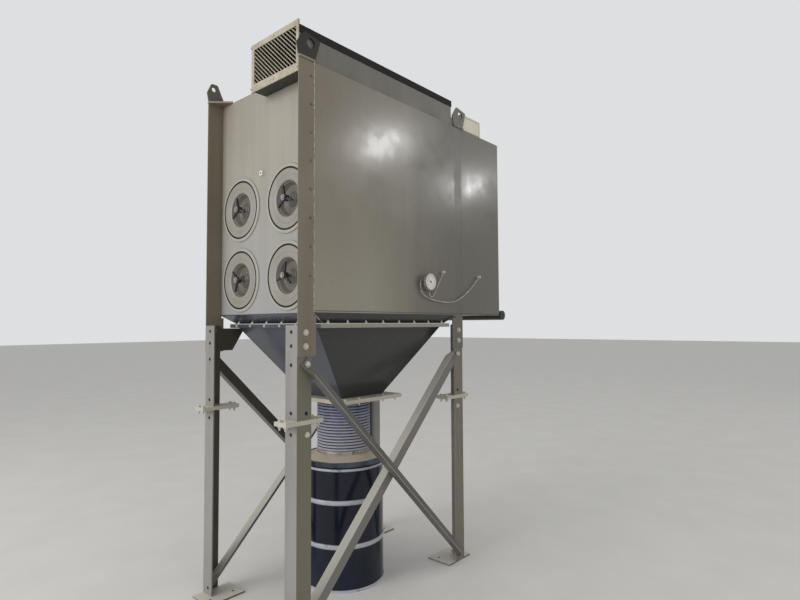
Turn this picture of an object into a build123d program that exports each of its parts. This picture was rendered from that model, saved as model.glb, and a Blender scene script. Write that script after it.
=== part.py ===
"""Cartridge dust collector on four braced legs, with a hopper, a flexible hose and a drum.

Millimetres. +X runs to the right along the front, +Y from the front to the rear, +Z up.
The origin lies on the floor, in the middle of the four feet.
"""
from build123d import *
from math import atan2, cos, degrees, pi, radians, sin, tan
import os

os.makedirs("parts", exist_ok=True)

# Housing: the filter chamber between the posts, and the clean-air plenum behind it
housing_width = 1016.0
frame_depth = 1612.0
plenum_depth = 548.0
housing_bottom = 1875.0
housing_top = 3358.0
sheet = 4.0

# Corner posts, which the side walls stand between
front_post_width = 115.0
rear_post_width = 94.0
post_plate = 6.0
post_bottom = 1620.0
post_foot_width = 132.0
post_foot_top = 1852.0
corner_plate = 12.0
corner_plate_reach = 133.0
corner_plate_overhang = 8.0
corner_nose = 14.0

# Lifting lugs: the corners of each side's outline, and its eye, along the frame and up from the corner plate
lug_plate = 10.0
lug_foot = 122.0
lug_corner_radius = 12.0
left_lug_corners = ((0.0, 0.0), (lug_foot, 0.0), (118.0, 24.0), (66.0, 132.0), (20.0, 132.0), (-12.0, 62.0))
left_lug_eye = (37.0, 94.0, 32.0)
right_lug_corners = ((0.0, 0.0), (lug_foot, 0.0), (162.0, 130.0), (41.0, 152.0), (-14.0, 71.0))
right_lug_eye = (88.0, 94.0, 60.0)

# Round filter covers on the front, in two columns and two rows
cover_diameter = 432.0
cover_column_spacing = 517.0
cover_upper_height = 2583.0
cover_lower_height = 2105.0
cover_rim_width = 19.0
cover_rim_height = 10.0
cover_rim_bend = 4.0
cover_groove = 12.0
cover_groove_height = 1.5
cover_face_height = 9.0
cover_bead_diameter = 300.0
cover_bead_width = 8.0
cover_bead_height = 2.0
cover_dish_diameter = 224.0
cover_dish_shoulder = 12.0
cover_dish_floor = 184.0
cover_dish_depth = 38.0
cover_boss_foot = 100.0
cover_boss_top = 60.0
cover_boss_depth = 18.0
cover_sheet = 3.0
filter_opening = 360.0
stud_diameter = 16.0
stud_reach = 5.0
knob_reach = 82.0
knob_hub = 42.0
knob_hub_length = 36.0
knob_hub_bevel = 4.0
knob_arm_setback = 16.0
knob_arm_root = 20.0
knob_arm_tip = 11.0
knob_arm_thickness = 12.0
knob_angles = (101.0, 102.0, 133.0, 81.0)

# Inlet box on the right half of the roof, with a screened front
inlet_left = 20.0
inlet_right = 494.0
inlet_top = 3556.0
inlet_drop = 68.0
inlet_front_reach = 100.0
inlet_rear_setback = 18.0
inlet_lid_depth = 46.0
inlet_lid_overhang = 4.0
inlet_lid_clearance = 0.3

# Screen of expanded metal in a flat frame, larger than the box on its left, top and bottom
guard_overhang_left = 5.0
guard_overhang_top = 32.0
guard_overhang_bottom = 10.0
guard_band_left = 29.0
guard_band_right = 22.0
guard_band_top = 36.0
guard_band_bottom = 49.0
guard_thickness = 8.0
mesh_pitch = 30.0
mesh_rise = 28.0
mesh_front_strand = 5.0
mesh_front_thickness = 4.0
mesh_back_strand = 2.0
mesh_back_thickness = 1.0

# Round collar for the duct on the box
collar_diameter = 196.0
collar_wall = 2.0
collar_height = 90.0
collar_flange = 24.0
collar_flange_thickness = 4.0
collar_y = -312.0

# Leg angles, with a bolted joint half way down and a foot plate
leg_side_flange = 104.0
leg_front_flange = 107.0
leg_wall = 8.0
leg_top = 1800.0
splice_height = 1245.0
splice_plate = 12.0
splice_width = 110.0
splice_length = 268.0
foot_width = 200.0
foot_length = 268.0
plate_overhang = 75.0
foot_plate = 12.0
anchor_hole = 18.0
anchor_inset = 143.0
anchor_spacing = 164.0

# Gusset on the front left leg: how far its corners lie behind the frame's front
gusset_plate = 6.0
gusset_clearance = 3.0
gusset_bottom = 1626.0
gusset_top_reach = (70.0, 292.0)
gusset_bottom_reach = (94.0, 196.0)

# Angle braces, crossed on each side
brace_width = 64.0
brace_wall = 6.0
brace_top_height = 1572.0
brace_bottom_height = 78.0
brace_bolt_inset = 66.0
brace_end = 30.0
brace_end_cut = 77.0

# Hopper below the filter chamber
throat_side_taper = 40.0
throat_end_taper = 100.0
throat_wall = 8.0
throat_depth = 63.0
flange_plate = 5.0
flange_lip = 29.0
flange_half_width = 495.0
flange_half_length = 636.0
hopper_half_width = 424.0
hopper_half_length = 608.0
hopper_wall = 4.0
outlet_size = 400.0
outlet_height = 1296.0
outlet_plate_width = 620.0
outlet_plate_length = 580.0
outlet_plate_thickness = 26.0

# Flexible hose, drum lid and drum
hose_diameter = 388.0
hose_cuff_diameter = 362.0
hose_wall = 3.0
hose_rib_depth = 18.0
hose_rib_pitch = 26.0
hose_rib_crest = 0.35
clamp_width = 24.0
clamp_thickness = 4.0
lid_top = 892.0
lid_sheet = 3.0
lid_shoulder = 14.0
lid_edge_width = 18.0
drum_diameter = 572.0
drum_height = 858.0
drum_hoops = ((300.0, 40.0, 8.0), (594.0, 40.0, 8.0), (812.0, 24.0, 6.0))
drum_chime = 9.0
drum_chime_height = 14.0
drum_chime_slope = 6.0
drum_wall = 3.0
drum_floor = 14.0
ring_sheet = 3.0
ring_clearance = 0.3
ring_top_lip = 12.0
ring_bottom_lip = 7.0

# Pressure gauge on the right wall, its two tapping tubes, and the compressed-air header
gauge_diameter = 120.0
gauge_bezel = 14.0
gauge_depth = 52.0
gauge_body = 100.0
gauge_y = 343.0
gauge_z = 2107.0
port_diameter = 13.0
port_reach = 28.0
port_rise = 8.0
port_drop = 16.0
port_offset = 23.0
port_overlap = 6.0
port_run = 20.0
elbow_run = 24.0
tap_diameter = 20.0
tap_length = 28.0
chamber_tap = (540.0, 2194.0)
chamber_barb = -123.0
plenum_tap = (1022.0, 2188.0)
plenum_barb = -138.0
barb_diameter = 9.0
barb_length = 20.0
tube_diameter = 8.0
tube_standoff = 18.0
header_diameter = 80.0
header_gap = 4.0
header_rise = 3.0
header_overhang = 8.0
header_bracket = 30.0
header_bracket_height = 24.0
header_bracket_place = 356.0
control_box_size = (150.0, 265.0, 140.0)
control_box_side_inset = 18.0
control_box_back_inset = 40.0

half_width = housing_width / 2
front = -frame_depth / 2
back = frame_depth / 2
chamber_front = front + front_post_width
chamber_back = back - rear_post_width
chamber_middle = (chamber_front + chamber_back) / 2
flange_height = housing_bottom - throat_depth
plenum_back = back + plenum_depth
post_inside = half_width - post_plate
wall_inside = half_width - sheet
roof_underside = housing_top - sheet
corners = {"front_left": (-1, -1), "front_right": (1, -1), "rear_left": (-1, 1), "rear_right": (1, 1)}


def save(block, name):
    """Label the finished piece and write it as a node."""
    block.part.label = name
    export_step(block.part, "parts/" + name + ".step")


def span_box(x, y, z, mode=Mode.ADD):
    """Add a box between the given limits to the current piece, or cut it out."""
    low = [min(pair) for pair in (x, y, z)]
    high = [max(pair) for pair in (x, y, z)]
    size = [top - bottom for top, bottom in zip(high, low)]
    middle = [(top + bottom) / 2 for top, bottom in zip(high, low)]
    with Locations(tuple(middle)):
        Box(*size, mode=mode)


def corner_post(name, side, end):
    """A flat post plate with its corner plate and lifting lug on top."""
    width = front_post_width if end < 0 else rear_post_width
    outer_y = end * frame_depth / 2
    inner_y = outer_y - end * width
    plate_top = housing_top + corner_plate
    lug_base = front if end < 0 else chamber_back
    plate_end = outer_y if end < 0 else lug_base + lug_foot
    reach = housing_width / 2 - inlet_right if name == "corner_post_front_right" else corner_plate_reach
    lug_corners = left_lug_corners if side < 0 else right_lug_corners
    eye_along, eye_up, eye_diameter = left_lug_eye if side < 0 else right_lug_eye
    with BuildPart() as post:
        span_box((side * post_inside, side * half_width), (outer_y, inner_y), (post_bottom, housing_top))
        span_box((side * post_inside, side * half_width), (outer_y, outer_y - end * post_foot_width),
                 (post_bottom, post_foot_top))
        with BuildSketch(Plane.XY.offset(housing_top)):
            with BuildLine():
                Polyline(
                    (side * (half_width + corner_plate_overhang), plate_end),
                    (side * (half_width + corner_plate_overhang), inner_y),
                    (side * (half_width - reach), inner_y),
                    (side * (half_width - corner_nose), plate_end),
                    close=True,
                )
            make_face()
        extrude(amount=corner_plate)
        lug_plane = Plane(origin=(side * half_width, 0, plate_top), x_dir=(0, 1, 0), z_dir=(1, 0, 0))
        with BuildSketch(lug_plane):
            with BuildLine():
                Polyline(*[(lug_base + along, up) for along, up in lug_corners], close=True)
            make_face()
            fillet(vertices().sort_by(Axis.Y)[-3:], radius=lug_corner_radius)
            with Locations((lug_base + eye_along, eye_up)):
                Circle(eye_diameter / 2, mode=Mode.SUBTRACT)
        extrude(amount=-side * lug_plate)
    save(post, name)


for corner, (side, end) in corners.items():
    corner_post("corner_post_" + corner, side, end)

# Side walls between the posts
for word, side in (("left", -1), ("right", 1)):
    with BuildPart() as side_wall:
        span_box((side * wall_inside, side * half_width), (chamber_front, chamber_back),
                 (housing_bottom, housing_top))
    save(side_wall, "side_wall_" + word)

# Front panel with its four filter openings
cover_places = [
    ("upper_left", -cover_column_spacing / 2, cover_upper_height),
    ("upper_right", cover_column_spacing / 2, cover_upper_height),
    ("lower_left", -cover_column_spacing / 2, cover_lower_height),
    ("lower_right", cover_column_spacing / 2, cover_lower_height),
]
panel_plane = Plane(origin=(0, chamber_front, 0), x_dir=(1, 0, 0), z_dir=(0, -1, 0))
with BuildPart() as front_panel:
    span_box((-wall_inside, wall_inside), (chamber_front, chamber_front + sheet),
             (housing_bottom, roof_underside))
    with BuildSketch(panel_plane):
        with Locations([(x, z) for _, x, z in cover_places]):
            Circle(filter_opening / 2)
    extrude(amount=-sheet, mode=Mode.SUBTRACT)
save(front_panel, "front_panel")

# Roof over the filter chamber
with BuildPart() as roof:
    span_box((-wall_inside, wall_inside), (chamber_front, chamber_back), (roof_underside, housing_top))
save(roof, "roof_panel")

# Clean-air plenum: a box closed by the tube sheet in front and by a bolted rear panel
with BuildPart() as plenum:
    span_box((-half_width, half_width), (back, plenum_back - sheet), (housing_bottom, housing_top))
    span_box((-post_inside, post_inside), (chamber_back, back), (housing_bottom, housing_top))
    for half_x, start in ((post_inside - sheet, chamber_back), (wall_inside, back)):
        span_box((-half_x, half_x), (start + sheet, plenum_back - sheet),
                 (housing_bottom + sheet, roof_underside), Mode.SUBTRACT)
save(plenum, "clean_air_plenum")

with BuildPart() as rear_panel:
    span_box((-half_width, half_width), (plenum_back - sheet, plenum_back), (housing_bottom, housing_top))
save(rear_panel, "plenum_rear_panel")


def filter_cover(name, x, z):
    """A pressed round cover: rolled rim, deep groove, beaded face, and a dish with its boss and stud."""
    outer = cover_diameter / 2
    groove_outer = outer - cover_rim_width
    groove_inner = groove_outer - cover_groove
    bead = cover_bead_diameter / 2
    bead_front = -cover_face_height - cover_bead_height
    dish_outer = cover_dish_diameter / 2
    dish_inner = cover_dish_floor / 2
    face = -cover_face_height
    shoulder = cover_dish_shoulder
    shoulder_side = shoulder * (1 - cos(pi / 4))
    with BuildPart() as cover:
        cover_plane = Plane(origin=(x, chamber_front, z), x_dir=(1, 0, 0), z_dir=(0, 0, 1))
        with BuildSketch(cover_plane):
            with BuildLine():
                Polyline(
                    (dish_outer + cover_sheet, 0),
                    (outer, 0),
                    (outer, cover_rim_bend - cover_rim_height),
                    (outer - cover_rim_bend, -cover_rim_height),
                    (groove_outer, -cover_rim_height),
                    (groove_outer, -cover_groove_height),
                    (groove_inner, -cover_groove_height),
                    (groove_inner, face),
                    (bead + cover_bead_width, face),
                    (bead + cover_bead_width / 2, bead_front),
                    (bead - cover_bead_width / 2, bead_front),
                    (bead - cover_bead_width, face),
                    (dish_outer + shoulder, face),
                )
                ThreePointArc(
                    (dish_outer + shoulder, face),
                    (dish_outer + shoulder_side, face + shoulder_side),
                    (dish_outer, face + shoulder),
                )
                Polyline(
                    (dish_outer, face + shoulder),
                    (dish_inner, cover_dish_depth),
                    (cover_boss_foot / 2, cover_dish_depth),
                    (cover_boss_top / 2, cover_boss_depth),
                    (stud_diameter / 2, cover_boss_depth),
                    (stud_diameter / 2, -stud_reach),
                    (0, -stud_reach),
                    (0, cover_dish_depth + cover_sheet),
                    (dish_inner + cover_sheet, cover_dish_depth + cover_sheet),
                    (dish_outer + cover_sheet, 0),
                )
            make_face()
        revolve(axis=Axis((x, chamber_front, z), (0, 1, 0)))
    save(cover, name)


def cover_knob(name, x, z, angle):
    """A knob on the cover's stud: a long bevelled hub with three tapered arms."""
    knob_back = chamber_front - stud_reach
    root = knob_arm_root / 2
    tip = knob_arm_tip / 2
    shoulder = knob_reach - tip
    hub_plane = Plane(origin=(x, knob_back, z), x_dir=(1, 0, 0), z_dir=(0, -1, 0))
    with BuildPart() as knob:
        with BuildSketch(hub_plane.offset(knob_arm_setback)):
            for turn in range(3):
                with BuildLine(Plane.XY.rotated((0, 0, angle + 120 * turn))):
                    Polyline((shoulder, tip), (0, root), (0, -root), (shoulder, -tip))
                    ThreePointArc((shoulder, -tip), (knob_reach, 0), (shoulder, tip))
                make_face()
        extrude(amount=knob_arm_thickness)
        with BuildSketch(hub_plane):
            Circle(knob_hub / 2)
        extrude(amount=knob_hub_length)
        chamfer(knob.faces().sort_by(Axis.Y)[0].edges(), knob_hub_bevel)
    save(knob, name)


for (place, x, z), angle in zip(cover_places, knob_angles):
    filter_cover("filter_cover_" + place, x, z)
    cover_knob("cover_knob_" + place, x, z, angle)

# Inlet box on the roof, reaching forward over the front panel behind the screen
inlet_front = chamber_front - inlet_front_reach
inlet_back = chamber_back - inlet_rear_setback
inlet_middle = (inlet_left + inlet_right) / 2
inlet_bottom = housing_top - inlet_drop
with BuildPart() as inlet_box:
    span_box((inlet_left, inlet_right), (inlet_front, chamber_front), (inlet_bottom, inlet_top - sheet))
    span_box((inlet_left, inlet_right), (chamber_front, inlet_back), (housing_top, inlet_top - sheet))
    span_box((inlet_left + sheet, inlet_right - sheet), (inlet_front, inlet_back - sheet),
             (housing_top, inlet_top - sheet), Mode.SUBTRACT)
    span_box((inlet_left + sheet, inlet_right - sheet), (inlet_front, chamber_front - sheet),
             (inlet_bottom + sheet, inlet_top - sheet), Mode.SUBTRACT)
save(inlet_box, "inlet_box")

# Lid over the box, its skirt outside the box's walls
skirt_bottom = inlet_top - inlet_lid_depth
with BuildPart() as inlet_lid:
    span_box((inlet_left - inlet_lid_overhang, inlet_right + inlet_lid_overhang),
             (inlet_front, inlet_back + inlet_lid_overhang), (skirt_bottom, inlet_top))
    span_box((inlet_left - inlet_lid_clearance, inlet_right + inlet_lid_clearance),
             (inlet_front, inlet_back + inlet_lid_clearance), (skirt_bottom, inlet_top - sheet), Mode.SUBTRACT)
    with BuildSketch(Plane.XY.offset(inlet_top - sheet)):
        with Locations((inlet_middle, collar_y)):
            Circle(collar_diameter / 2 - collar_wall)
    extrude(amount=sheet, mode=Mode.SUBTRACT)
save(inlet_lid, "inlet_lid")

# Screen of expanded metal: strands that fall to the right in front, finer ones that rise behind them
guard_left = inlet_left - guard_overhang_left
guard_bottom = inlet_bottom - guard_overhang_bottom
guard_width = inlet_right - guard_left
guard_height = inlet_top + guard_overhang_top - guard_bottom
open_width = guard_width - guard_band_left - guard_band_right
open_height = guard_height - guard_band_bottom - guard_band_top
open_centre = (
    guard_left + guard_band_left + open_width / 2,
    guard_bottom + guard_band_bottom + open_height / 2,
)
mesh_slope = degrees(atan2(mesh_rise, mesh_pitch))
strand_length = 2 * (open_width + open_height)
strand_count = int((open_width + open_height * mesh_pitch / mesh_rise) / mesh_pitch) + 2
strand_start = open_centre[0] - (strand_count - 1) / 2 * mesh_pitch
strand_places = [(strand_start + number * mesh_pitch, open_centre[1]) for number in range(strand_count)]
guard_plane = Plane(origin=(0, inlet_front, 0), x_dir=(1, 0, 0), z_dir=(0, -1, 0))
with BuildPart() as guard:
    for slope, width, thickness in (
        (-mesh_slope, mesh_front_strand, mesh_front_thickness),
        (mesh_slope, mesh_back_strand, mesh_back_thickness),
    ):
        with BuildSketch(guard_plane):
            with Locations(open_centre):
                Rectangle(open_width, open_height)
            with BuildSketch(mode=Mode.INTERSECT):
                with Locations(strand_places):
                    Rectangle(strand_length, width, rotation=slope)
        extrude(amount=thickness)
    with BuildSketch(guard_plane):
        with Locations((guard_left + guard_width / 2, guard_bottom + guard_height / 2)):
            Rectangle(guard_width, guard_height)
        with Locations(open_centre):
            Rectangle(open_width, open_height, mode=Mode.SUBTRACT)
    extrude(amount=guard_thickness)
save(guard, "inlet_guard")

# Round inlet collar on the box
with BuildPart() as collar:
    with BuildSketch(Plane.XY.offset(inlet_top)):
        with Locations((inlet_middle, collar_y)):
            Circle(collar_diameter / 2 + collar_flange)
            Circle(collar_diameter / 2 - collar_wall, mode=Mode.SUBTRACT)
    extrude(amount=collar_flange_thickness)
    with BuildSketch(Plane.XY.offset(inlet_top)):
        with Locations((inlet_middle, collar_y)):
            Circle(collar_diameter / 2)
            Circle(collar_diameter / 2 - collar_wall, mode=Mode.SUBTRACT)
    extrude(amount=collar_height)
save(collar, "inlet_collar")


def leg_points(side, end):
    """Corners of the leg angle, its heel at the outer corner of the frame."""
    outer_y = end * frame_depth / 2
    return [
        (side * post_inside, outer_y),
        (side * post_inside, outer_y - end * leg_side_flange),
        (side * (post_inside - leg_wall), outer_y - end * leg_side_flange),
        (side * (post_inside - leg_wall), outer_y - end * leg_wall),
        (side * (post_inside - leg_front_flange), outer_y - end * leg_wall),
        (side * (post_inside - leg_front_flange), outer_y),
    ]


splice_middle = frame_depth / 2 - (splice_length / 2 - plate_overhang)
foot_middle = frame_depth / 2 - (foot_length / 2 - plate_overhang)
lip_bottom = flange_height - flange_lip
for corner, (side, end) in corners.items():
    splice_centre = (side * (post_inside - splice_width / 2), end * splice_middle)
    foot_centre = (side * (post_inside - foot_width / 2), end * foot_middle)
    with BuildPart() as upper_leg:
        with BuildSketch(Plane.XY.offset(splice_height + splice_plate)):
            with BuildLine():
                Polyline(*leg_points(side, end), close=True)
            make_face()
        extrude(amount=leg_top - splice_height - splice_plate)
        with BuildSketch(Plane.XY.offset(splice_height)):
            with Locations(splice_centre):
                Rectangle(splice_width, splice_length)
        extrude(amount=splice_plate)
        if corner == "front_left":
            gusset_plane = Plane(origin=(leg_wall - post_inside, 0, 0), x_dir=(0, 1, 0), z_dir=(1, 0, 0))
            with BuildSketch(gusset_plane):
                with BuildLine():
                    Polyline(
                        (front + gusset_top_reach[0], lip_bottom - gusset_clearance),
                        (front + gusset_top_reach[1], lip_bottom - gusset_clearance),
                        (front + gusset_bottom_reach[1], gusset_bottom),
                        (front + gusset_bottom_reach[0], gusset_bottom),
                        close=True,
                    )
                make_face()
            extrude(amount=gusset_plate)
    save(upper_leg, "upper_leg_" + corner)
    with BuildPart() as lower_leg:
        with BuildSketch(Plane.XY.offset(foot_plate)):
            with BuildLine():
                Polyline(*leg_points(side, end), close=True)
            make_face()
        extrude(amount=splice_height - splice_plate - foot_plate)
        with BuildSketch(Plane.XY.offset(splice_height - splice_plate)):
            with Locations(splice_centre):
                Rectangle(splice_width, splice_length)
        extrude(amount=splice_plate)
        with BuildSketch():
            with Locations(foot_centre):
                Rectangle(foot_width, foot_length)
            with Locations(*[
                (side * (half_width - anchor_inset), end * foot_middle + offset)
                for offset in (-anchor_spacing / 2, anchor_spacing / 2)
            ]):
                Circle(anchor_hole / 2, mode=Mode.SUBTRACT)
        extrude(amount=foot_plate)
    save(lower_leg, "lower_leg_" + corner)

brace_run = frame_depth - 2 * brace_bolt_inset
brace_rise = brace_top_height - brace_bottom_height
brace_tilt = degrees(atan2(brace_rise, brace_run))
brace_length = (brace_run ** 2 + brace_rise ** 2) ** 0.5 + 2 * brace_end
brace_middle_height = (brace_top_height + brace_bottom_height) / 2


def side_brace(name, side, face_x, outward, rising):
    """An angle brace: its flat flange on the legs' face, its other flange square to it."""
    along = Vector(0, brace_run * rising, brace_rise).normalized()
    edge = -1 if outward else 1
    toward = side if outward else -side
    plane = Plane(origin=(0, 0, brace_middle_height), x_dir=(1, 0, 0), z_dir=along)
    up = 1 if plane.y_dir.Z > 0 else -1
    with BuildPart() as brace:
        with BuildSketch(plane):
            with BuildLine():
                heel = edge * up * brace_width / 2
                toe = -heel
                inner = heel - edge * up * brace_wall
                Polyline(
                    (face_x, heel),
                    (face_x + toward * brace_width, heel),
                    (face_x + toward * brace_width, inner),
                    (face_x + toward * brace_wall, inner),
                    (face_x + toward * brace_wall, toe),
                    (face_x, toe),
                    close=True,
                )
            make_face()
        extrude(amount=brace_length / 2, both=True)
        with BuildSketch(Plane(origin=plane.origin, x_dir=(1, 0, 0), z_dir=plane.y_dir)):
            for end in (-1, 1):
                with BuildLine():
                    Polyline(
                        (face_x + toward * brace_wall, end * brace_length / 2),
                        (face_x + toward * brace_width, end * brace_length / 2),
                        (face_x + toward * brace_width, end * (brace_length / 2 - brace_end_cut)),
                        close=True,
                    )
                make_face()
        extrude(amount=brace_width, both=True, mode=Mode.SUBTRACT)
    save(brace, name)


for word, side in (("left", -1), ("right", 1)):
    side_brace("falling_brace_" + word, side, side * post_inside, True, -1)
    side_brace("rising_brace_" + word, side, side * (post_inside - leg_wall), False, 1)


# Tapered throat under the filter chamber, and the hopper bolted to its flange
throat_top_x = half_width
throat_top_y = (chamber_back - chamber_front) / 2
throat_bottom_x = throat_top_x - throat_side_taper
throat_bottom_y = throat_top_y - throat_end_taper
throat_top = housing_bottom - flange_plate
with BuildPart() as throat:
    with BuildSketch(Plane.XY.offset(throat_top)):
        with Locations((0, chamber_middle)):
            Rectangle(2 * throat_top_x, 2 * throat_top_y)
    extrude(amount=flange_plate)
    with BuildSketch(Plane.XY.offset(flange_height - flange_plate)):
        with Locations((0, chamber_middle)):
            Rectangle(2 * flange_half_width, 2 * flange_half_length)
    extrude(amount=flange_plate)
    for inset, mode in ((0, Mode.ADD), (throat_wall, Mode.SUBTRACT)):
        with BuildSketch(Plane.XY.offset(flange_height)):
            with Locations((0, chamber_middle)):
                Rectangle(2 * (throat_bottom_x - inset), 2 * (throat_bottom_y - inset))
        with BuildSketch(Plane.XY.offset(throat_top)):
            with Locations((0, chamber_middle)):
                Rectangle(2 * (throat_top_x - inset), 2 * (throat_top_y - inset))
        loft(mode=mode)
    for half_x, half_y, height in (
        (throat_top_x, throat_top_y, throat_top),
        (throat_bottom_x, throat_bottom_y, flange_height - flange_plate),
    ):
        with BuildSketch(Plane.XY.offset(height)):
            with Locations((0, chamber_middle)):
                Rectangle(2 * (half_x - throat_wall), 2 * (half_y - throat_wall))
        extrude(amount=flange_plate, mode=Mode.SUBTRACT)
save(throat, "hopper_throat")

hopper_top = flange_height - flange_plate
hopper_inner_x = hopper_half_width - hopper_wall
hopper_inner_y = hopper_half_length - hopper_wall
lip_inner_x = flange_half_width - flange_plate
lip_inner_y = flange_half_length - flange_plate
hopper_rings = [
    (hopper_half_width, hopper_half_length, hopper_inner_x, hopper_inner_y, lip_bottom, hopper_top),
    (flange_half_width, flange_half_length, hopper_inner_x, hopper_inner_y, hopper_top - flange_plate,
     hopper_top),
    (flange_half_width, flange_half_length, lip_inner_x, lip_inner_y, lip_bottom, hopper_top),
]
with BuildPart() as hopper:
    for shrink, mode in ((0, Mode.ADD), (hopper_wall, Mode.SUBTRACT)):
        with BuildSketch(Plane.XY.offset(lip_bottom)):
            with Locations((0, chamber_middle)):
                Rectangle(2 * (hopper_half_width - shrink), 2 * (hopper_half_length - shrink))
        with BuildSketch(Plane.XY.offset(outlet_height)):
            with Locations((0, chamber_middle)):
                Rectangle(outlet_size - 2 * shrink, outlet_size - 2 * shrink)
        loft(mode=mode)
    for half_x, half_y, hole_x, hole_y, bottom, top in hopper_rings:
        with BuildSketch(Plane.XY.offset(bottom)):
            with Locations((0, chamber_middle)):
                Rectangle(2 * half_x, 2 * half_y)
                Rectangle(2 * hole_x, 2 * hole_y, mode=Mode.SUBTRACT)
        extrude(amount=top - bottom)
save(hopper, "hopper")

hose_radius = hose_diameter / 2
cuff_radius = hose_cuff_diameter / 2
hose_core = hose_radius - hose_rib_depth
plate_underside = outlet_height - outlet_plate_thickness
with BuildPart() as outlet_plate:
    with BuildSketch(Plane.XY.offset(plate_underside)):
        with Locations((0, chamber_middle)):
            Rectangle(outlet_plate_width, outlet_plate_length)
            Circle(hose_core - hose_wall, mode=Mode.SUBTRACT)
    extrude(amount=outlet_plate_thickness)
save(outlet_plate, "outlet_plate")

hose_length = plate_underside - lid_top
hose_ribs = int((hose_length - 2 * clamp_width) / hose_rib_pitch)
rib_pitch = (hose_length - 2 * clamp_width) / hose_ribs
hose_axis = Axis((0, chamber_middle, 0), (0, 0, 1))
hose_plane = Plane(origin=(0, chamber_middle, 0), x_dir=(1, 0, 0), z_dir=(0, -1, 0))
hose_inside = hose_core - hose_wall
with BuildPart() as hose:
    with BuildSketch(hose_plane):
        outline = [(hose_inside, lid_top), (cuff_radius, lid_top), (cuff_radius, lid_top + clamp_width)]
        for rib in range(hose_ribs):
            foot = lid_top + clamp_width + rib * rib_pitch
            outline += [
                (hose_core, foot),
                (hose_radius, foot + (1 - hose_rib_crest) / 2 * rib_pitch),
                (hose_radius, foot + (1 + hose_rib_crest) / 2 * rib_pitch),
            ]
        outline += [
            (hose_core, plate_underside - clamp_width),
            (cuff_radius, plate_underside - clamp_width),
            (cuff_radius, plate_underside),
            (hose_inside, plate_underside),
        ]
        with BuildLine():
            Polyline(*outline, close=True)
        make_face()
    revolve(axis=hose_axis)
save(hose, "flexible_hose")

with BuildPart() as clamps:
    for height in (lid_top, plate_underside - clamp_width):
        with BuildSketch(Plane.XY.offset(height)):
            with Locations((0, chamber_middle)):
                Circle(cuff_radius + clamp_thickness)
                Circle(cuff_radius, mode=Mode.SUBTRACT)
        extrude(amount=clamp_width)
save(clamps, "hose_clamps")

drum_radius = drum_diameter / 2
chime_radius = drum_radius + drum_chime
lid_edge_top = drum_height + lid_sheet
with BuildPart() as lid:
    with BuildSketch(hose_plane):
        with BuildLine():
            Polyline(
                (hose_inside, lid_top),
                (cuff_radius + lid_shoulder, lid_top),
                (chime_radius - lid_edge_width, lid_edge_top),
                (chime_radius, lid_edge_top),
                (chime_radius, drum_height),
                (chime_radius - lid_edge_width, drum_height),
                (cuff_radius + lid_shoulder, lid_top - lid_sheet),
                (hose_inside, lid_top - lid_sheet),
                close=True,
            )
        make_face()
    revolve(axis=hose_axis)
save(lid, "drum_lid")

with BuildPart() as drum:
    with BuildSketch(hose_plane):
        with BuildLine():
            Polyline(
                (0, drum_floor),
                (0, 0),
                (chime_radius, 0),
                (chime_radius, drum_chime_height),
                (drum_radius, drum_chime_height + drum_chime_slope),
            )
            level = drum_chime_height + drum_chime_slope
            for middle, width, rise in drum_hoops:
                Line((drum_radius, level), (drum_radius, middle - width / 2))
                ThreePointArc((drum_radius, middle - width / 2), (drum_radius + rise, middle),
                              (drum_radius, middle + width / 2))
                level = middle + width / 2
            Polyline(
                (drum_radius, level),
                (drum_radius, drum_height - drum_chime_height - drum_chime_slope),
                (chime_radius, drum_height - drum_chime_height),
                (chime_radius, drum_height),
                (drum_radius - drum_wall, drum_height),
                (drum_radius - drum_wall, drum_floor),
                (0, drum_floor),
            )
        make_face()
    revolve(axis=hose_axis)
save(drum, "drum")

# Clamping ring round the lid's edge and the drum's rolled rim
ring_inside = chime_radius + ring_clearance
ring_outside = ring_inside + ring_sheet
ring_foot = drum_height - drum_chime_height - drum_chime_slope
with BuildPart() as lid_ring:
    with BuildSketch(hose_plane):
        with BuildLine():
            Polyline(
                (chime_radius - ring_top_lip, lid_edge_top),
                (ring_inside, lid_edge_top),
                (ring_inside, ring_foot),
                (chime_radius - ring_bottom_lip, ring_foot),
                (chime_radius - ring_bottom_lip, ring_foot - ring_sheet),
                (ring_outside, ring_foot - ring_sheet),
                (ring_outside, lid_edge_top + ring_sheet),
                (chime_radius - ring_top_lip, lid_edge_top + ring_sheet),
                close=True,
            )
        make_face()
    revolve(axis=hose_axis)
save(lid_ring, "lid_ring")

# Differential pressure gauge with its ports, and the two wall taps
tube_x = half_width + tube_standoff
gauge_left = gauge_y - gauge_body / 2
elbow = (gauge_left - port_reach, gauge_z + port_rise)
wall_plane = Plane(origin=(half_width, 0, 0), x_dir=(0, 1, 0), z_dir=(1, 0, 0))


def barb_point(tap, angle, distance):
    """A point at the given distance along the barb that leaves a tap at the given angle."""
    return (tap[0] + distance * cos(radians(angle)), tap[1] + distance * sin(radians(angle)))


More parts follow.
